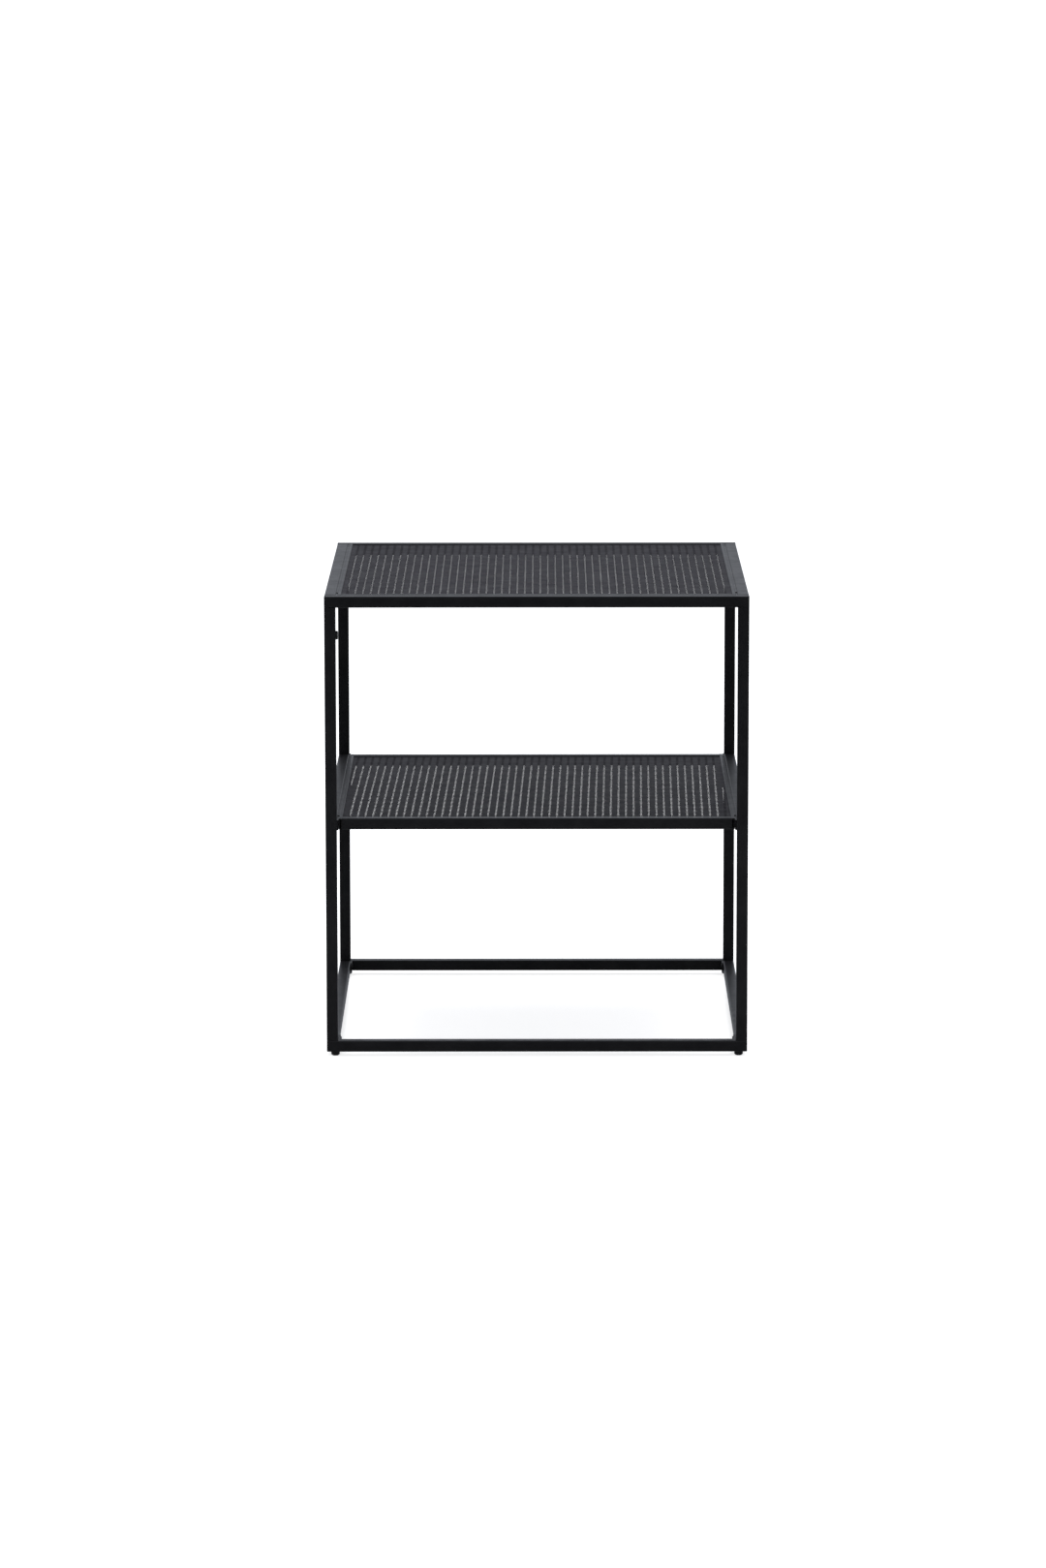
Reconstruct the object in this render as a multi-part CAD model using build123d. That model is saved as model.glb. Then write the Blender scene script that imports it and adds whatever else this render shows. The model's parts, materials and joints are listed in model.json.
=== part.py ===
"""Folding side table: a square-tube box frame with a perforated top deck and a perforated shelf.

The rear frame and the front frame are rigid rectangles. The deck, the shelf and the two base rails
are parallel links between them, hinged on lugs in the narrow gap beside each tray, so the table
folds flat as a parallelogram. Millimetres. Origin on the floor under the middle of the table,
+X to the right, -Y to the front, +Z up.
"""

from build123d import *
import os

# ---- driving dimensions ----
WIDTH = 450.0
DEPTH = 450.0
HEIGHT = 496.5
TUBE = 12.0
TUBE_WALL = 1.2
TUBE_CORNER = 1.2
GLIDE_DROP = 4.5
SHELF_TOP_Z = 256.0

# Trays: the rim bars inside the side rails, and the sheet set into them.
SIDE_GAP = 2.0
RIM_WIDTH = 3.5
BAR_WIDTH = 6.0
RIM_WALL = 1.0
RIM_CORNER = 0.6
SHEET = 0.6
SHEET_RECESS = 1.2
LEDGE_WIDTH = 2.0
LEDGE = 2.0
END_GAP = 1.5

# Hinges.
LINK_LENGTH = 393.0
BASE_TAIL = 8.0
BASE_CORNER_GAP = 0.3
PIN_R = 2.5
HINGE_CLEARANCE = 0.05
OPEN_CLEARANCE = 0.10
FIT_GAP = 0.03
LUG = 1.6
LUG_R = 5.5
LUG_SIDE_GAP = 0.2
LUG_TONGUE_HALF = 4.0
LEG_LUG_LAP = 1.0
LEG_LUG_PAD = 6.0
HEAD_R = 3.8
HEAD = 0.6
HEAD_POCKET = 0.7
HEAD_GAP = 0.1
FORMED_HEAD_R = 3.6
FORMED_HEAD = 0.8

# Rivets and the spacer strips that hold each side rail to its tray rim.
RIVET_R = 2.0
RIVET_PITCH = 100.0
RIVETS_PER_SIDE = 3
SPACER_INSET = 0.25
SPACER_END_GAP = 1.0

# End plugs, glides and the stop tabs under the deck's front ends.
PLUG_HEAD = 1.5
PLUG_STEM = 3.5
PLUG_EDGE = 0.5
GLIDE_R = 4.65
GLIDE_EDGE = 1.3
GLIDE_INSET = 9.0
GLIDE_STEM_R = 2.5
GLIDE_STEM = 5.0
STOP_TAB = 1.5
STOP_TAB_REACH = 8.0
STOP_TAB_WIDTH = 8.0
STOP_GAP = 0.1

# Lock button in the front left leg.
BUTTON_R = 4.6
BUTTON_PROUD = 2.4
BUTTON_DROP = 42.0
BUTTON_EDGE = 0.7
BUTTON_CLEARANCE = 0.1
BUTTON_FLANGE = 1.2
BUTTON_FLANGE_WIDTH = 8.9
BUTTON_FLANGE_HEIGHT = 13.0
BUTTON_TRAVEL = 2.0
LEAF = 0.5
LEAF_WIDTH = 7.0
LEAF_HEIGHT = 24.0

# ---- derived places ----
HALF_W = WIDTH / 2
HALF_D = DEPTH / 2
LEG_X = HALF_W - TUBE / 2
LEG_Y = HALF_D - TUBE / 2
INNER_X = HALF_W - TUBE
INNER_Y = HALF_D - TUBE
FRAME_BOTTOM = GLIDE_DROP
BASE_Z = FRAME_BOTTOM + TUBE / 2
DECK_Z = HEIGHT - TUBE / 2
SHELF_Z = SHELF_TOP_Z - TUBE / 2
LEG_FOOT = FRAME_BOTTOM + TUBE
LEG_HEAD = HEIGHT - TUBE
TRAY_X = INNER_X - SIDE_GAP
RIM_X = TRAY_X - RIM_WIDTH / 2
SHEET_X = TRAY_X - RIM_WIDTH
TRAY_Y = INNER_Y - END_GAP
LUG_OUTER = INNER_X - LUG_SIDE_GAP
LUG_INNER = LUG_OUTER - LUG
PIVOT_Y = LINK_LENGTH / 2
BASE_PIVOT_REAR = INNER_Y - (BASE_TAIL**2 + (TUBE / 2) ** 2) ** 0.5 - BASE_CORNER_GAP
BASE_PIVOT_FRONT = BASE_PIVOT_REAR - LINK_LENGTH
BASE_RAIL_REAR = BASE_PIVOT_REAR + BASE_TAIL
GLIDE_X = HALF_W - GLIDE_INSET
BUTTON_Z = HEIGHT - BUTTON_DROP
RIVET_ROWS = [RIVET_PITCH * (i - (RIVETS_PER_SIDE - 1) / 2) for i in range(RIVETS_PER_SIDE)]
SIDES = (-1, 1)
OVERSHOOT = 1.0  # how far a cut runs past the surface it opens


# ---- basic shapes ----
def block(x0, x1, y0, y1, z0, z1):
    """Box between two corners, given in any order."""
    centre = ((x0 + x1) / 2, (y0 + y1) / 2, (z0 + z1) / 2)
    return Pos(*centre) * Box(abs(x1 - x0), abs(y1 - y0), abs(z1 - z0))


def rod_x(x0, x1, y, z, radius):
    """Round bar along X."""
    return Pos((x0 + x1) / 2, y, z) * Rot(0, 90, 0) * Cylinder(radius, abs(x1 - x0))


def hollow_section(width, height, wall, corner):
    outer = RectangleRounded(width, height, corner)
    inner = RectangleRounded(width - 2 * wall, height - 2 * wall, corner / 2)
    return outer - inner


def hollow_bar(width, height, wall, corner, length):
    """Hollow bar centred on the origin, along Z."""
    bar = extrude(hollow_section(width, height, wall, corner), amount=length)
    return Pos(0, 0, -length / 2) * bar


def post(x, y, z0, z1):
    return Pos(x, y, (z0 + z1) / 2) * hollow_bar(TUBE, TUBE, TUBE_WALL, TUBE_CORNER, z1 - z0)


def rail_x(x0, x1, y, z):
    bar = hollow_bar(TUBE, TUBE, TUBE_WALL, TUBE_CORNER, x1 - x0)
    return Pos((x0 + x1) / 2, y, z) * Rot(0, 90, 0) * bar


def rail_y(x, y0, y1, z):
    bar = hollow_bar(TUBE, TUBE, TUBE_WALL, TUBE_CORNER, y1 - y0)
    return Pos(x, (y0 + y1) / 2, z) * Rot(90, 0, 0) * bar


def together(shapes):
    """One node made of several separate solids."""
    return Compound(children=[solid for shape in shapes for solid in shape.solids()])


# ---- fasteners, all along X through one side of the table ----
def pin(side, y, z, inner_end):
    """Pin with a flat head let into the side rail's outer face."""
    shank = rod_x(side * inner_end, side * (HALF_W - HEAD_POCKET), y, z, PIN_R)
    face = HALF_W - HEAD_POCKET + HEAD
    return shank + rod_x(side * (HALF_W - HEAD_POCKET), side * face, y, z, HEAD_R)


def rivet(side, y, z):
    shank = rod_x(side * SHEET_X, side * (HALF_W - HEAD_POCKET), y, z, RIVET_R)
    face = HALF_W - HEAD_POCKET + HEAD
    return shank + rod_x(side * (HALF_W - HEAD_POCKET), side * face, y, z, HEAD_R)


def fastener_hole(side, y, z, radius):
    """Drilled through rail and rim, with a shallow pocket for the head."""
    outside = side * (HALF_W + OVERSHOOT)
    hole = rod_x(side * (SHEET_X - OVERSHOOT), outside, y, z, radius + FIT_GAP)
    pocket = rod_x(side * (HALF_W - HEAD_POCKET), outside, y, z, HEAD_R + HEAD_GAP)
    return hole + pocket


def spacer(side, z):
    """Flat strip that fills the gap between side rail and rim, and stops short of the hinge lugs."""
    half_length = PIVOT_Y - LUG_R - SPACER_END_GAP
    half_height = TUBE / 2 - SPACER_INSET
    strip = block(
        side * TRAY_X, side * INNER_X, -half_length, half_length, z - half_height, z + half_height
    )
    for y in RIVET_ROWS:
        strip -= rod_x(side * TRAY_X, side * INNER_X, y, z, RIVET_R + FIT_GAP)
    return strip


def end_plug(outward):
    """Plug for an open tube end: its head fills the end, facing +Z (or -Z when outward is -1)."""
    head = extrude(RectangleRounded(TUBE, TUBE, TUBE_CORNER), amount=PLUG_HEAD)
    head = chamfer(head.faces().sort_by(Axis.Z)[-1].edges(), PLUG_EDGE)
    stem_width = TUBE - 2 * TUBE_WALL - 2 * FIT_GAP
    stem = extrude(RectangleRounded(stem_width, stem_width, TUBE_CORNER / 2), amount=-PLUG_STEM)
    whole = head + stem
    return whole if outward > 0 else Rot(180, 0, 0) * whole


def plug_x(side, y, z):
    return Pos(side * (HALF_W - PLUG_HEAD), y, z) * Rot(0, 90, 0) * end_plug(side)


def plug_y(end, x, y, z):
    return Pos(x, y, z) * Rot(-90, 0, 0) * end_plug(end)


# ---- hinge lugs ----
def lug(side, end, pivot_y, z, clearance):
    """Plate in the gap beside a tray, its tongue let into the wall of a cross rail."""
    wall_y = end * INNER_Y
    plate = block(side * LUG_INNER, side * LUG_OUTER, wall_y, pivot_y, z - LUG_R, z + LUG_R)
    plate += rod_x(side * LUG_INNER, side * LUG_OUTER, pivot_y, z, LUG_R)
    plate += lug_tongue(side, end, z)
    return plate - rod_x(side * LUG_INNER, side * LUG_OUTER, pivot_y, z, PIN_R + clearance)


def lug_tongue(side, end, z):
    inside = end * (INNER_Y + TUBE_WALL)
    low, high = z - LUG_TONGUE_HALF, z + LUG_TONGUE_HALF
    return block(side * LUG_INNER, side * LUG_OUTER, end * INNER_Y, inside, low, high)


def leg_lug(side, end, pivot_y, z):
    """Plate set over against the leg's inner face, then back to the middle of the gap."""
    pad_end = end * (INNER_Y + LEG_LUG_PAD)
    low, high = z - LUG_R, z + LUG_R
    pad = block(side * (INNER_X - LUG), side * INNER_X, end * INNER_Y, pad_end, low, high)
    arm_root = end * (INNER_Y + LEG_LUG_LAP)
    arm = block(side * LUG_INNER, side * LUG_OUTER, arm_root, pivot_y, low, high)
    arm += rod_x(side * LUG_INNER, side * LUG_OUTER, pivot_y, z, LUG_R)
    hole = rod_x(side * LUG_INNER, side * LUG_OUTER, pivot_y, z, PIN_R + HINGE_CLEARANCE)
    return pad + arm - hole


# ---- the two end frames ----
def cross_rail(end, z):
    rail = rail_x(-HALF_W + PLUG_HEAD, HALF_W - PLUG_HEAD, end * LEG_Y, z)
    for side in SIDES:
        rail -= lug_tongue(side, end, z)
    return rail


def base_cross_rail(end):
    rail = cross_rail(end, BASE_Z)
    for side in SIDES:
        stem_hole = Cylinder(GLIDE_STEM_R + FIT_GAP, 2 * (TUBE_WALL + OVERSHOOT))
        rail -= Pos(side * GLIDE_X, end * LEG_Y, FRAME_BOTTOM) * stem_hole
    return rail


def glide(side, end):
    foot = Pos(0, 0, GLIDE_DROP / 2) * Cylinder(GLIDE_R, GLIDE_DROP)
    foot = chamfer(foot.faces().sort_by(Axis.Z)[0].edges(), GLIDE_EDGE)
    foot += Pos(0, 0, GLIDE_DROP + GLIDE_STEM / 2) * Cylinder(GLIDE_STEM_R, GLIDE_STEM)
    return Pos(side * GLIDE_X, end * LEG_Y, 0) * foot


def end_frame(name, end, legs, top_clearance, base_pivot, base_clearance):
    """Nodes of one rigid end frame; end is -1 at the front and +1 at the rear."""
    nodes = dict(legs)
    nodes[f"{name}_top_rail"] = cross_rail(end, DECK_Z)
    nodes[f"{name}_base_rail"] = base_cross_rail(end)
    pivot = end * PIVOT_Y
    nodes[f"{name}_top_lugs"] = together(lug(s, end, pivot, DECK_Z, top_clearance) for s in SIDES)
    nodes[f"{name}_shelf_lugs"] = together(leg_lug(s, end, pivot, SHELF_Z) for s in SIDES)
    nodes[f"{name}_base_lugs"] = together(
        lug(s, end, base_pivot, BASE_Z, base_clearance) for s in SIDES
    )
    nodes[f"{name}_top_rail_plugs"] = together(plug_x(s, end * LEG_Y, DECK_Z) for s in SIDES)
    nodes[f"{name}_base_rail_plugs"] = together(plug_x(s, end * LEG_Y, BASE_Z) for s in SIDES)
    nodes[f"{name}_glides"] = together(glide(s, end) for s in SIDES)
    return nodes


def rear_frame():
    legs = {
        "rear_leg_left": post(-LEG_X, LEG_Y, LEG_FOOT, LEG_HEAD),
        "rear_leg_right": post(LEG_X, LEG_Y, LEG_FOOT, LEG_HEAD),
    }
    return end_frame("rear", 1, legs, HINGE_CLEARANCE, BASE_PIVOT_REAR, HINGE_CLEARANCE)


def front_frame():
    left = post(-LEG_X, -LEG_Y, LEG_FOOT, LEG_HEAD)
    bore_r = BUTTON_R + BUTTON_CLEARANCE
    left -= rod_x(-INNER_X - 2 * TUBE_WALL, -INNER_X + OVERSHOOT, -LEG_Y, BUTTON_Z, bore_r)
    legs = {
        "front_leg_left": left,
        "front_leg_right": post(LEG_X, -LEG_Y, LEG_FOOT, LEG_HEAD),
        "front_stop_tabs": together(stop_tab(side) for side in SIDES),
    }
    return end_frame("front", -1, legs, OPEN_CLEARANCE, BASE_PIVOT_FRONT, OPEN_CLEARANCE)


def stop_tab(side):
    """Small shelf on the leg's rear face that the deck's side rail comes down on."""
    top = LEG_HEAD - STOP_GAP
    x = side * LEG_X
    half = STOP_TAB_WIDTH / 2
    return block(x - half, x + half, -INNER_Y, -INNER_Y + STOP_TAB_REACH, top - STOP_TAB, top)


# ---- links: side rails, rims and sheets ----
def side_rail(side, z):
    rail = rail_y(side * LEG_X, -TRAY_Y + PLUG_HEAD, TRAY_Y - PLUG_HEAD, z)
    for y in (-PIVOT_Y, PIVOT_Y):
        rail -= fastener_hole(side, y, z, PIN_R)
    for y in RIVET_ROWS:
        rail -= fastener_hole(side, y, z, RIVET_R)
    return rail


def side_rim(side, z):
    bar = hollow_bar(RIM_WIDTH, TUBE, RIM_WALL, RIM_CORNER, 2 * TRAY_Y)
    rim = Pos(side * RIM_X, 0, z) * Rot(90, 0, 0) * bar
    for y in (-PIVOT_Y, PIVOT_Y):
        rim -= fastener_hole(side, y, z, PIN_R)
    for y in RIVET_ROWS:
        rim -= fastener_hole(side, y, z, RIVET_R)
    return rim


def link_hardware(name, z):
    """Everything that joins a tray's two rims to its two side rails, with the hinge pins."""
    return {
        f"{name}_rim_spacers": together(spacer(s, z) for s in SIDES),
        f"{name}_rim_rivets": together(rivet(s, y, z) for s in SIDES for y in RIVET_ROWS),
        f"{name}_pins_rear": together(pin(s, PIVOT_Y, z, SHEET_X) for s in SIDES),
        f"{name}_pins_front": together(pin(s, -PIVOT_Y, z, SHEET_X) for s in SIDES),
        f"{name}_rail_plugs": together(
            plug_y(e, s * LEG_X, e * (TRAY_Y - PLUG_HEAD), z) for s in SIDES for e in SIDES
        ),
    }


def ledge_ring(y0, y1, top):
    """Four flat strips under the sheet's edges, along the inside of the tray."""
    low = top - LEDGE
    inner = SHEET_X - LEDGE_WIDTH
    strips = [block(s * inner, s * SHEET_X, y0, y1, low, top) for s in SIDES]
    strips.append(block(-inner, inner, y0, y0 + LEDGE_WIDTH, low, top))
    strips.append(block(-inner, inner, y1 - LEDGE_WIDTH, y1, low, top))
    return together(strips)


def deck():
    """Top tray: side rims, a front bar level with them, and a rear bar under the sheet."""
    sheet_top = HEIGHT - SHEET_RECESS
    sheet_low = sheet_top - SHEET
    front_inner = -TRAY_Y + BAR_WIDTH
    front_bar = hollow_bar(BAR_WIDTH, TUBE, RIM_WALL, RIM_CORNER, 2 * SHEET_X)
    rear_height = sheet_low - LEG_HEAD
    rear_bar = hollow_bar(BAR_WIDTH, rear_height, RIM_WALL, RIM_CORNER, 2 * SHEET_X)
    rear_bar_y = TRAY_Y - BAR_WIDTH / 2
    lying = Rot(0, 0, 90) * Rot(90, 0, 0)
    nodes = {
        "deck_side_rail_left": side_rail(-1, DECK_Z),
        "deck_side_rail_right": side_rail(1, DECK_Z),
        "deck_rim_left": side_rim(-1, DECK_Z),
        "deck_rim_right": side_rim(1, DECK_Z),
        "deck_front_bar": Pos(0, -rear_bar_y, DECK_Z) * lying * front_bar,
        "deck_rear_bar": Pos(0, rear_bar_y, LEG_HEAD + rear_height / 2) * lying * rear_bar,
        "deck_sheet": block(-SHEET_X, SHEET_X, front_inner, TRAY_Y, sheet_low, sheet_top),
        "deck_ledges": ledge_ring(front_inner, TRAY_Y - BAR_WIDTH, sheet_low),
    }
    nodes.update(link_hardware("deck", DECK_Z))
    return nodes


def shelf():
    """Middle tray: side rims with a square tube between them at the front and at the rear."""
    sheet_top = SHELF_TOP_Z - SHEET_RECESS
    inner_y = TRAY_Y - TUBE
    tube_y = TRAY_Y - TUBE / 2
    nodes = {
        "shelf_side_rail_left": side_rail(-1, SHELF_Z),
        "shelf_side_rail_right": side_rail(1, SHELF_Z),
        "shelf_rim_left": side_rim(-1, SHELF_Z),
        "shelf_rim_right": side_rim(1, SHELF_Z),
        "shelf_front_tube": rail_x(-SHEET_X, SHEET_X, -tube_y, SHELF_Z),
        "shelf_rear_tube": rail_x(-SHEET_X, SHEET_X, tube_y, SHELF_Z),
        "shelf_sheet": block(-SHEET_X, SHEET_X, -inner_y, inner_y, sheet_top - SHEET, sheet_top),
        "shelf_ledges": ledge_ring(-inner_y, inner_y, sheet_top - SHEET),
    }
    nodes.update(link_hardware("shelf", SHELF_Z))
    return nodes


def base_link(name, side):
    """Base side rail with a pin at each end, its short rear tail kept off the floor when it folds."""
    x = side * LEG_X
    rail = rail_y(x, -TRAY_Y + PLUG_HEAD, BASE_RAIL_REAR - PLUG_HEAD, BASE_Z)
    for y in (BASE_PIVOT_FRONT, BASE_PIVOT_REAR):
        rail -= fastener_hole(side, y, BASE_Z, PIN_R)
    plugs = [
        plug_y(-1, x, -TRAY_Y + PLUG_HEAD, BASE_Z),
        plug_y(1, x, BASE_RAIL_REAR - PLUG_HEAD, BASE_Z),
    ]
    pins = []
    for y in (BASE_PIVOT_FRONT, BASE_PIVOT_REAR):
        head_root = LUG_INNER - HEAD_GAP
        head = rod_x(side * (head_root - FORMED_HEAD), side * head_root, y, BASE_Z, FORMED_HEAD_R)
        pins.append(pin(side, y, BASE_Z, head_root) + head)
    return {
        f"base_rail_{name}": rail,
        f"base_rail_{name}_plugs": together(plugs),
        f"base_rail_{name}_pins": together(pins),
    }


# ---- lock button ----
def lock_button():
    """Push button through the leg's inner wall, held in by a flange behind the wall."""
    wall_inside = -(INNER_X + TUBE_WALL)
    flange_face = wall_inside - HEAD_GAP
    barrel = rod_x(flange_face, -INNER_X + BUTTON_PROUD, -LEG_Y, BUTTON_Z, BUTTON_R)
    barrel = fillet(barrel.faces().sort_by(Axis.X)[-1].edges(), BUTTON_EDGE)
    half_w, half_h = BUTTON_FLANGE_WIDTH / 2, BUTTON_FLANGE_HEIGHT / 2
    back = flange_face - BUTTON_FLANGE
    flange = block(
        flange_face, back, -LEG_Y - half_w, -LEG_Y + half_w, BUTTON_Z - half_h, BUTTON_Z + half_h
    )
    return barrel + flange, back


def lock_leaf(back):
    """Bowed leaf spring behind the button, drawn at the length it has when the button is pressed."""
    far = -(HALF_W - TUBE_WALL) + BUTTON_TRAVEL + 2 * HEAD_GAP
    with BuildPart() as leaf:
        with BuildSketch(Plane.XZ):
            with BuildLine():
                bow = ThreePointArc(
                    (far, BUTTON_Z - LEAF_HEIGHT / 2),
                    (back - LEAF, BUTTON_Z),
                    (far, BUTTON_Z + LEAF_HEIGHT / 2),
                )
                outer = ThreePointArc(
                    (far + LEAF, BUTTON_Z - LEAF_HEIGHT / 2),
                    (back, BUTTON_Z),
                    (far + LEAF, BUTTON_Z + LEAF_HEIGHT / 2),
                )
                Line(bow @ 0, outer @ 0)
                Line(bow @ 1, outer @ 1)
            make_face()
        extrude(amount=LEAF_WIDTH / 2, both=True)
    return Pos(0, -LEG_Y, 0) * leaf.part


def main():
    nodes = {}
    nodes.update(rear_frame())
    nodes.update(front_frame())
    nodes.update(deck())
    nodes.update(shelf())
    nodes.update(base_link("left", -1))
    nodes.update(base_link("right", 1))
    button, back = lock_button()
    nodes["lock_button"] = button
    nodes["lock_leaf_spring"] = lock_leaf(back)
    os.makedirs("parts", exist_ok=True)
    for name, shape in nodes.items():
        export_step(shape, f"parts/{name}.step")


main()
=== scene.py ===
"""Looks of the folding side table: powder-coated tube frame, punched steel sheets, plastic plugs and feet.

Metres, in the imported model's frame: origin on the floor under the middle of the table, +X to the
right, -Y to the front, +Z up. The tube frame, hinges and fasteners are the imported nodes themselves.
Only the two plain sheets are replaced, by punched ones.
"""

import json
import math

import bpy
from mathutils import Matrix, Vector


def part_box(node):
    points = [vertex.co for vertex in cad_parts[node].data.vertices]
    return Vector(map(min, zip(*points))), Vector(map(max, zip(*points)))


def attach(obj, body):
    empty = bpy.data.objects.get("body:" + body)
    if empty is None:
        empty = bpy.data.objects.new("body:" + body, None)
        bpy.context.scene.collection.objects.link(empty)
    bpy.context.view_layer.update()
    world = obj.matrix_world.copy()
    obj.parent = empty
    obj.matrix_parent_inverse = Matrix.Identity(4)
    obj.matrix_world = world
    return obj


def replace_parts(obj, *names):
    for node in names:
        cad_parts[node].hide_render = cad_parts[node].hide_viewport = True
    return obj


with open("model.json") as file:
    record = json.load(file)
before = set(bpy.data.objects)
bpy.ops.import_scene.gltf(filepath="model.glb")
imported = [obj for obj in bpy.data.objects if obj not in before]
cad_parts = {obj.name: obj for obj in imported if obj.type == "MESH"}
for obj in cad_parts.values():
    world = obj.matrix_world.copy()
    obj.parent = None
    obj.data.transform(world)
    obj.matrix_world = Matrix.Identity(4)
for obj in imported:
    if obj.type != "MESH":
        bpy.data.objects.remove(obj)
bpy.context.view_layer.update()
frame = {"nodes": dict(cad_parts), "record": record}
nodes = frame["nodes"]

MM = 0.001

# ---- punched sheets ----
HOLE_STEP = 8.2 * MM  # between neighbouring columns, and between neighbouring rows
HOLE_R = 1.6 * MM  # at the underside
HOLE_FLARE = 0.2 * MM  # extra radius at the top, where the punch went in
ROW_MARGIN = 5.0 * MM  # least distance from the first and last rows to the sheet's front and rear edges
COLUMN_MARGIN = 2.7 * MM  # least distance from a hole's middle to the sheet's left and right edges
DECK_GAUGE = 0.34 * MM
SHELF_GAUGE = 0.39 * MM
DECK_LEAN = 0.0013  # sideways run of a hole column, per unit of depth
SHELF_LEAN = 0.0166
ARC_STEPS = 4  # per quarter of a hole

# ---- materials ----
EDGE_BEGINS = 0.995  # cosine between the rounded and the true normal, where an edge begins to show
EDGE_FULL = 0.90
BEVEL_SAMPLES = 4

# ---- light ----
BASE_GLOW = 0.021  # studio's glow from every side
BACK_GLOW = 0.355  # added towards the rear
TOP_GLOW = 0.33  # added towards the top
BACK_SPREAD = (-0.55, 0.85)  # from no added glow to all of it, by the direction's Y
TOP_SPREAD = (-0.05, 0.75)  # the same, by its Z
STUDIO_TINT = (0.87, 0.912, 1.0)
OVERHEAD_PLACE = (0, 0.9, 3.2)
OVERHEAD_TARGET = (0, 0.1, 0.3)
OVERHEAD_SIZE = (3.0, 3.0)
OVERHEAD_WATTS = 76.0
FRONT_FILL_PLACE = (0, -0.75, 0.06)
FRONT_FILL_TARGET = (0, -0.22, 0)
FRONT_FILL_SIZE = (1.2, 0.1)
FRONT_FILL_WATTS = 1.1
FLOOR_HALF = 30.0
FLOOR_GREY = 0.90
FLOOR_LIFT = 0.76  # floor's extra brightness, for the camera only
BACKGROUND_WHITE = 1.05

# ---- camera ----
CAMERA_PLACE = (-0.0013, -6.4250, 1.3496)
CAMERA_LENS = 135.87  # for a 36 mm sensor
CAMERA_DOWN = 9.649  # degrees, like the two below
CAMERA_TURN = 0.1234
CAMERA_ROLL = 0.0697


# ---------------------------------------------------------------- materials
def new_material(name):
    mat = bpy.data.materials.new(name)
    mat.use_nodes = True
    tree = mat.node_tree
    return mat, tree, tree.nodes["Principled BSDF"]


def noise(tree, coords, scale, detail=3.0, roughness=0.5, stretch=(1, 1, 1)):
    """Noise in the object's own metres; scale is in cycles per metre."""
    vector = coords
    if stretch != (1, 1, 1):
        mapping = tree.nodes.new("ShaderNodeMapping")
        mapping.inputs["Scale"].default_value = stretch
        tree.links.new(coords, mapping.inputs["Vector"])
        vector = mapping.outputs["Vector"]
    tex = tree.nodes.new("ShaderNodeTexNoise")
    tex.inputs["Scale"].default_value = scale
    tex.inputs["Detail"].default_value = detail
    tex.inputs["Roughness"].default_value = roughness
    tree.links.new(vector, tex.inputs["Vector"])
    return tex.outputs["Fac"]


def remap(tree, value, low, high, to_low, to_high):
    node = tree.nodes.new("ShaderNodeMapRange")
    for socket, number in zip(("From Min", "From Max", "To Min", "To Max"), (low, high, to_low, to_high)):
        node.inputs[socket].default_value = number
    tree.links.new(value, node.inputs["Value"])
    return node.outputs["Result"]


def math_node(tree, operation, a, b):
    node = tree.nodes.new("ShaderNodeMath")
    node.operation = operation
    for socket, value in zip(node.inputs, (a, b)):
        if isinstance(value, (int, float)):
            socket.default_value = value
        else:
            tree.links.new(value, socket)
    return node.outputs["Value"]


def mix_colour(tree, factor, a, b):
    node = tree.nodes.new("ShaderNodeMix")
    node.data_type = "RGBA"
    tree.links.new(factor, node.inputs["Factor"])
    for socket, value in ((node.inputs["A"], a), (node.inputs["B"], b)):
        if isinstance(value, (tuple, list)):
            socket.default_value = (*value, 1.0)
        else:
            tree.links.new(value, socket)
    return node.outputs["Result"]


def bump(tree, height, strength, distance, normal=None):
    node = tree.nodes.new("ShaderNodeBump")
    node.inputs["Strength"].default_value = strength
    node.inputs["Distance"].default_value = distance
    tree.links.new(height, node.inputs["Height"])
    if normal is not None:
        tree.links.new(normal, node.inputs["Normal"])
    return node.outputs["Normal"]


def edge_mask(tree, radius):
    """1 along convex edges within radius, 0 on flats: the rounded normal leaves the true one there."""
    bevel = tree.nodes.new("ShaderNodeBevel")
    bevel.samples = BEVEL_SAMPLES
    bevel.inputs["Radius"].default_value = radius
    geometry = tree.nodes.new("ShaderNodeNewGeometry")
    dot = tree.nodes.new("ShaderNodeVectorMath")
    dot.operation = "DOT_PRODUCT"
    tree.links.new(bevel.outputs["Normal"], dot.inputs[0])
    tree.links.new(geometry.outputs["Normal"], dot.inputs[1])
    return remap(tree, dot.outputs["Value"], EDGE_BEGINS, EDGE_FULL, 0.0, 1.0)


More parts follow.
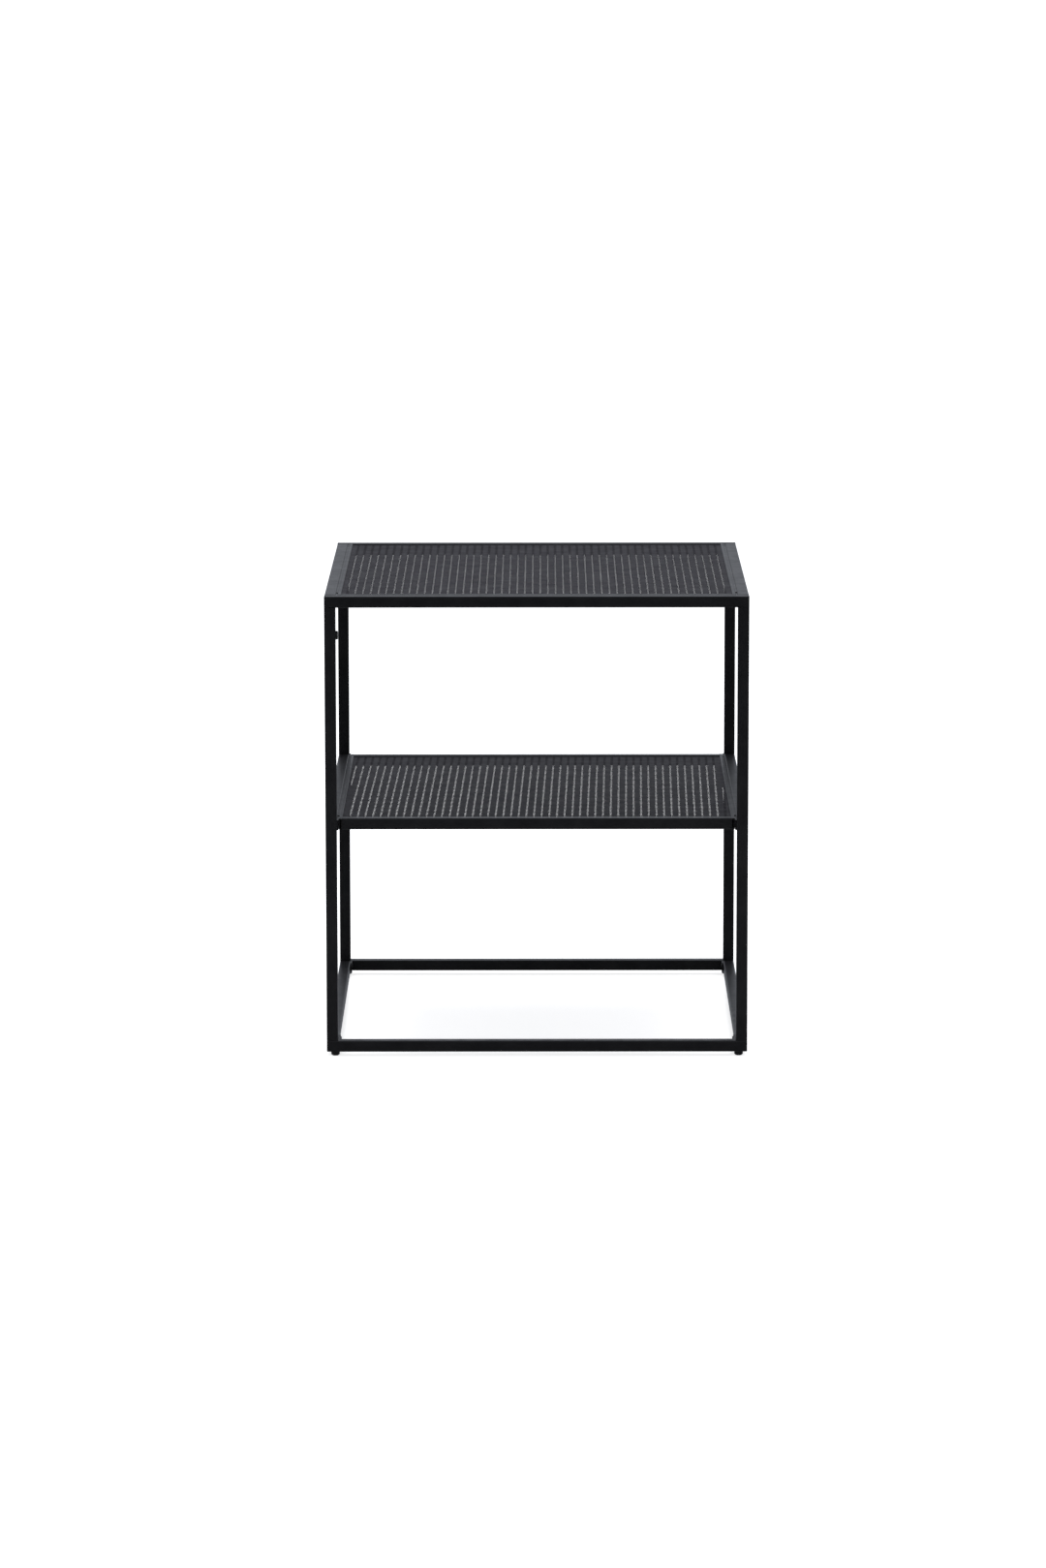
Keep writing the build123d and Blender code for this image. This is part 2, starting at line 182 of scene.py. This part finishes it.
def coated_metal(name, dark, light, worn, rough, specular, tint=(1.0, 1.0, 1.0)):
    """Fine-textured powder coat: grain and orange peel, patchy gloss, rubbed edges."""
    mat, tree, shader = new_material(name)
    coords = tree.nodes.new("ShaderNodeTexCoord").outputs["Object"]
    patches = noise(tree, coords, 38.0, 4.0, 0.6)
    rubbed = noise(tree, coords, 260.0, 5.0, 0.65)
    colour = mix_colour(tree, remap(tree, patches, 0.35, 0.65, 0.0, 1.0), dark, light)
    wear = math_node(tree, "MULTIPLY", edge_mask(tree, 0.7 * MM), remap(tree, rubbed, 0.45, 0.70, 0.0, 0.8))
    colour = mix_colour(tree, wear, colour, worn)
    tree.links.new(colour, shader.inputs["Base Color"])
    gloss = remap(tree, noise(tree, coords, 70.0, 5.0, 0.6), 0.3, 0.7, rough - 0.05, rough + 0.06)
    rubbed_gloss = math_node(tree, "MULTIPLY", wear, 0.10)
    tree.links.new(math_node(tree, "SUBTRACT", gloss, rubbed_gloss), shader.inputs["Roughness"])
    peel = bump(tree, noise(tree, coords, 420.0, 2.0, 0.5), 0.20, 0.02 * MM)
    fine = bump(tree, noise(tree, coords, 2200.0, 2.0, 0.55), 0.25, 0.03 * MM, peel)
    tree.links.new(fine, shader.inputs["Normal"])
    shader.inputs["Specular IOR Level"].default_value = specular
    shader.inputs["Specular Tint"].default_value = (*tint, 1.0)
    return mat


def moulded_plastic(name, dark, light, rough):
    """Spark-eroded mould texture with slightly polished edges."""
    mat, tree, shader = new_material(name)
    coords = tree.nodes.new("ShaderNodeTexCoord").outputs["Object"]
    speckle = noise(tree, coords, 900.0, 3.0, 0.6)
    tree.links.new(mix_colour(tree, speckle, dark, light), shader.inputs["Base Color"])
    polished = math_node(tree, "MULTIPLY", edge_mask(tree, 0.5 * MM), 0.15)
    gloss = remap(tree, noise(tree, coords, 240.0, 3.0, 0.5), 0.3, 0.7, rough - 0.05, rough + 0.08)
    tree.links.new(math_node(tree, "SUBTRACT", gloss, polished), shader.inputs["Roughness"])
    mould = noise(tree, coords, 2600.0, 2.0, 0.6)
    tree.links.new(bump(tree, mould, 0.35, 0.04 * MM), shader.inputs["Normal"])
    shader.inputs["Specular IOR Level"].default_value = 0.45
    return mat


def blackened_steel(name, dark, light, rough):
    """Black-oxide pin and rivet heads, thinly coated: the metal shows at the rims."""
    mat, tree, shader = new_material(name)
    coords = tree.nodes.new("ShaderNodeTexCoord").outputs["Object"]
    mottle = noise(tree, coords, 700.0, 4.0, 0.65)
    wear = math_node(tree, "MULTIPLY", edge_mask(tree, 0.3 * MM), remap(tree, mottle, 0.4, 0.65, 0.0, 0.7))
    colour = mix_colour(tree, mottle, dark, light)
    tree.links.new(mix_colour(tree, wear, colour, (0.09, 0.09, 0.092)), shader.inputs["Base Color"])
    tree.links.new(remap(tree, mottle, 0.3, 0.7, rough - 0.06, rough + 0.08), shader.inputs["Roughness"])
    pitting = noise(tree, coords, 1800.0, 3.0, 0.5)
    tree.links.new(bump(tree, pitting, 0.2, 0.02 * MM), shader.inputs["Normal"])
    shader.inputs["Metallic"].default_value = 0.55
    return mat


def rolled_steel(name, dark, light, rough):
    """Bare spring strip with fine rolling lines along its length."""
    mat, tree, shader = new_material(name)
    coords = tree.nodes.new("ShaderNodeTexCoord").outputs["Object"]
    lines = noise(tree, coords, 500.0, 3.0, 0.6, (6, 6, 0.3))
    tree.links.new(mix_colour(tree, lines, dark, light), shader.inputs["Base Color"])
    tree.links.new(remap(tree, lines, 0.3, 0.7, rough - 0.06, rough + 0.08), shader.inputs["Roughness"])
    tree.links.new(bump(tree, lines, 0.15, 0.01 * MM), shader.inputs["Normal"])
    shader.inputs["Metallic"].default_value = 1.0
    return mat


MATERIALS = {
    "frame_paint": coated_metal(
        "frame_paint", (0.0105, 0.0105, 0.0120), (0.0150, 0.0150, 0.0165), (0.030, 0.030, 0.032), 0.33, 0.5,
    ),
    "sheet_paint": coated_metal(
        "sheet_paint", (0.0112, 0.0098, 0.0128), (0.0156, 0.0138, 0.0176), (0.028, 0.027, 0.030), 0.48, 0.105,
        tint=(1.0, 0.93, 1.0),
    ),
    "black_fastener": blackened_steel("black_fastener", (0.012, 0.012, 0.013), (0.026, 0.026, 0.027), 0.40),
    "black_plastic": moulded_plastic(
        "black_plastic", (0.0100, 0.0100, 0.0105), (0.0150, 0.0150, 0.0155), 0.52,
    ),
    "spring_steel": rolled_steel("spring_steel", (0.42, 0.42, 0.43), (0.60, 0.60, 0.61), 0.32),
}


def dress_cad_nodes():
    for part in frame["record"]["subparts"]:
        mesh = nodes[part["node"]].data
        mesh.materials.clear()
        mesh.materials.append(MATERIALS[part["material_slot"]])


# ---------------------------------------------------------------- mesh helpers
def new_piece(name, points, faces, slot, body, smooth_angle=30.0):
    mesh = bpy.data.meshes.new(name)
    mesh.from_pydata([tuple(p) for p in points], [], [tuple(f) for f in faces])
    mesh.validate()
    mesh.polygons.foreach_set("use_smooth", [True] * len(mesh.polygons))
    mesh.set_sharp_from_angle(angle=math.radians(smooth_angle))
    mesh.materials.append(MATERIALS[slot])
    obj = bpy.data.objects.new(name, mesh)
    bpy.context.scene.collection.objects.link(obj)
    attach(obj, body)
    return obj


class Points:
    """Mesh points that are shared when they fall in the same place."""

    GRID = 1e-6

    def __init__(self):
        self.places = []
        self.index = {}

    def add(self, x, y, z):
        key = (round(x / self.GRID), round(y / self.GRID), round(z / self.GRID))
        if key not in self.index:
            self.index[key] = len(self.places)
            self.places.append((x, y, z))
        return self.index[key]


# ---------------------------------------------------------------- punched sheets
def row_borders(low, high):
    """Borders between the rows of holes, centred between two edges, with the edges themselves."""
    count = math.floor((high - low - 2 * ROW_MARGIN) / HOLE_STEP) + 1
    first = (low + high - count * HOLE_STEP) / 2
    return [low, *(first + k * HOLE_STEP for k in range(count + 1)), high]


def punched_sheet(name, node, body, gauge, middle_column, lean):
    """Sheet with round holes in a square grid; middle_column is a column's place, lean its slant.

    The grid runs past the left and right edges and is cut there, like sheet cut from stock.
    Each hole is meshed in its own square of the grid.
    """
    low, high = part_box(node)
    top = high.z
    bottom = top - gauge
    middle_y = (low.y + high.y) / 2
    reach = math.ceil((high.x - low.x) / 2 / HOLE_STEP) + 2
    rows = row_borders(low.y, high.y)
    points = Points()
    faces = []

    def grid_x(column, y):
        return middle_column + column * HOLE_STEP + lean * (y - middle_y)

    def corner(column_border, y):
        return min(max(grid_x(column_border, y), low.x), high.x), y

    def flat(ring, z, up):
        ids = [points.add(x, y, z) for x, y in ring]
        if len(set(ids)) >= 3:
            ids = [p for p, following in zip(ids, ids[1:] + ids[:1]) if p != following]
            faces.append(ids if up else ids[::-1])

    def circle(cx, cy, radius):
        turns = [k / (4 * ARC_STEPS) * 2 * math.pi for k in range(4 * ARC_STEPS)]
        return [(cx + radius * math.cos(t), cy + radius * math.sin(t)) for t in turns]

    def around_hole(corners, ring, z, up):
        """From the square's corners, north-east first, to the hole's edge, which starts in the east."""
        for quarter in range(4):
            here = corners[quarter]
            start = quarter * ARC_STEPS
            for k in range(start, start + ARC_STEPS):
                flat([here, ring[(k + 1) % len(ring)], ring[k]], z, up)
            flat([corners[quarter - 1], here, ring[start]], z, up)

    def square(column, y0, y1, is_row):
        left, right = column - 0.5, column + 0.5
        corners = [corner(right, y1), corner(left, y1), corner(left, y0), corner(right, y0)]
        cy = (y0 + y1) / 2
        cx = grid_x(column, cy)
        if not (is_row and low.x + COLUMN_MARGIN <= cx <= high.x - COLUMN_MARGIN):
            flat(corners, top, True)
            flat(corners, bottom, False)
            return
        upper, lower = circle(cx, cy, HOLE_R + HOLE_FLARE), circle(cx, cy, HOLE_R)
        around_hole(corners, upper, top, True)
        around_hole(corners, lower, bottom, False)
        for k in range(len(upper)):
            after = (k + 1) % len(upper)
            faces.append([
                points.add(*upper[k], top), points.add(*upper[after], top),
                points.add(*lower[after], bottom), points.add(*lower[k], bottom),
            ])

    for j, (y0, y1) in enumerate(zip(rows, rows[1:])):
        for column in range(-reach, reach + 1):
            square(column, y0, y1, 0 < j < len(rows) - 2)

    close_edges(points, faces, top, bottom)
    sheet = new_piece(name, points.places, faces, "sheet_paint", body)
    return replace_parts(sheet, node)


def close_edges(points, faces, top, bottom):
    """Walls along every open edge of the top side."""
    sides = set()
    for ids in faces:
        sides.update(zip(ids, ids[1:] + ids[:1]))
    for a, b in sides:
        (xa, ya, za), (xb, yb, zb) = points.places[a], points.places[b]
        if za == zb == top and (b, a) not in sides:
            faces.append([b, a, points.add(xa, ya, bottom), points.add(xb, yb, bottom)])


# ---------------------------------------------------------------- stage
def floor_and_light():
    mesh = bpy.data.meshes.new("floor")
    corners = [(x * FLOOR_HALF, y * FLOOR_HALF, 0) for x, y in ((-1, -1), (1, -1), (1, 1), (-1, 1))]
    mesh.from_pydata(corners, [], [(0, 1, 2, 3)])
    floor = bpy.data.objects.new("floor", mesh)
    bpy.context.scene.collection.objects.link(floor)
    mat, tree, shader = new_material("floor_white")
    shader.inputs["Base Color"].default_value = (FLOOR_GREY, FLOOR_GREY, FLOOR_GREY, 1)
    shader.inputs["Roughness"].default_value = 0.9
    shader.inputs["Specular IOR Level"].default_value = 0.0
    glow = tree.nodes.new("ShaderNodeEmission")
    seen = tree.nodes.new("ShaderNodeLightPath").outputs["Is Camera Ray"]
    tree.links.new(math_node(tree, "MULTIPLY", seen, FLOOR_LIFT), glow.inputs["Strength"])
    both = tree.nodes.new("ShaderNodeAddShader")
    tree.links.new(shader.outputs["BSDF"], both.inputs[0])
    tree.links.new(glow.outputs["Emission"], both.inputs[1])
    tree.links.new(both.outputs["Shader"], tree.nodes["Material Output"].inputs["Surface"])
    mesh.materials.append(mat)
    floor.visible_glossy = False

    world = bpy.data.worlds.new("studio")
    bpy.context.scene.world = world
    world.use_nodes = True
    tree = world.node_tree
    tree.nodes.clear()
    output = tree.nodes.new("ShaderNodeOutputWorld")
    direction = tree.nodes.new("ShaderNodeTexCoord").outputs["Generated"]
    split = tree.nodes.new("ShaderNodeSeparateXYZ")
    tree.links.new(direction, split.inputs["Vector"])
    behind = remap(tree, split.outputs["Y"], *BACK_SPREAD, 0.0, 1.0)
    above = remap(tree, split.outputs["Z"], *TOP_SPREAD, 0.0, 1.0)
    back_glow = math_node(tree, "MULTIPLY", behind, BACK_GLOW)
    top_glow = math_node(tree, "MULTIPLY", above, TOP_GLOW)
    glow = math_node(tree, "ADD", math_node(tree, "ADD", back_glow, top_glow), BASE_GLOW)
    soft = tree.nodes.new("ShaderNodeBackground")
    soft.inputs["Color"].default_value = (*STUDIO_TINT, 1)
    tree.links.new(glow, soft.inputs["Strength"])
    plain = tree.nodes.new("ShaderNodeBackground")
    plain.inputs["Color"].default_value = (1, 1, 1, 1)
    plain.inputs["Strength"].default_value = BACKGROUND_WHITE
    swap = tree.nodes.new("ShaderNodeMixShader")
    tree.links.new(tree.nodes.new("ShaderNodeLightPath").outputs["Is Camera Ray"], swap.inputs["Fac"])
    tree.links.new(soft.outputs["Background"], swap.inputs[1])
    tree.links.new(plain.outputs["Background"], swap.inputs[2])
    tree.links.new(swap.outputs["Shader"], output.inputs["Surface"])

    area_light("overhead", OVERHEAD_PLACE, OVERHEAD_TARGET, OVERHEAD_SIZE, OVERHEAD_WATTS)
    area_light("front_fill", FRONT_FILL_PLACE, FRONT_FILL_TARGET, FRONT_FILL_SIZE, FRONT_FILL_WATTS)


def area_light(name, place, target, size, watts):
    data = bpy.data.lights.new(name, "AREA")
    data.shape = "RECTANGLE"
    data.size, data.size_y = size
    data.energy = watts
    light = bpy.data.objects.new(name, data)
    light.location = place
    light.rotation_mode = "QUATERNION"
    light.rotation_quaternion = (Vector(target) - Vector(place)).to_track_quat("-Z", "Y")
    light.visible_glossy = False
    light.visible_camera = False
    bpy.context.scene.collection.objects.link(light)


# ---------------------------------------------------------------- camera
def camera():
    data = bpy.data.cameras.new("camera")
    data.sensor_width = 36.0
    data.lens = CAMERA_LENS
    data.clip_end = 200.0
    obj = bpy.data.objects.new("camera", data)
    bpy.context.scene.collection.objects.link(obj)
    pitch, roll = math.radians(CAMERA_DOWN), math.radians(CAMERA_ROLL)
    turn = Matrix.Rotation(math.radians(CAMERA_TURN), 3, "Z")
    forward = turn @ Vector((0, math.cos(pitch), -math.sin(pitch)))
    right = turn @ Vector((1, 0, 0))
    down = forward.cross(right)
    tilted_right = math.cos(roll) * right + math.sin(roll) * down
    tilted_down = math.cos(roll) * down - math.sin(roll) * right
    axes = Matrix((tilted_right, -tilted_down, -forward)).transposed()
    obj.matrix_world = Matrix.Translation(CAMERA_PLACE) @ axes.to_4x4()
    bpy.context.scene.camera = obj


def main():
    dress_cad_nodes()
    punched_sheet("deck_punched_sheet", "deck_sheet", "deck", DECK_GAUGE, HOLE_STEP / 2, DECK_LEAN)
    punched_sheet("shelf_punched_sheet", "shelf_sheet", "shelf", SHELF_GAUGE, 0.0, SHELF_LEAN)
    floor_and_light()
    camera()
    bpy.context.scene.view_settings.view_transform = "Standard"


main()
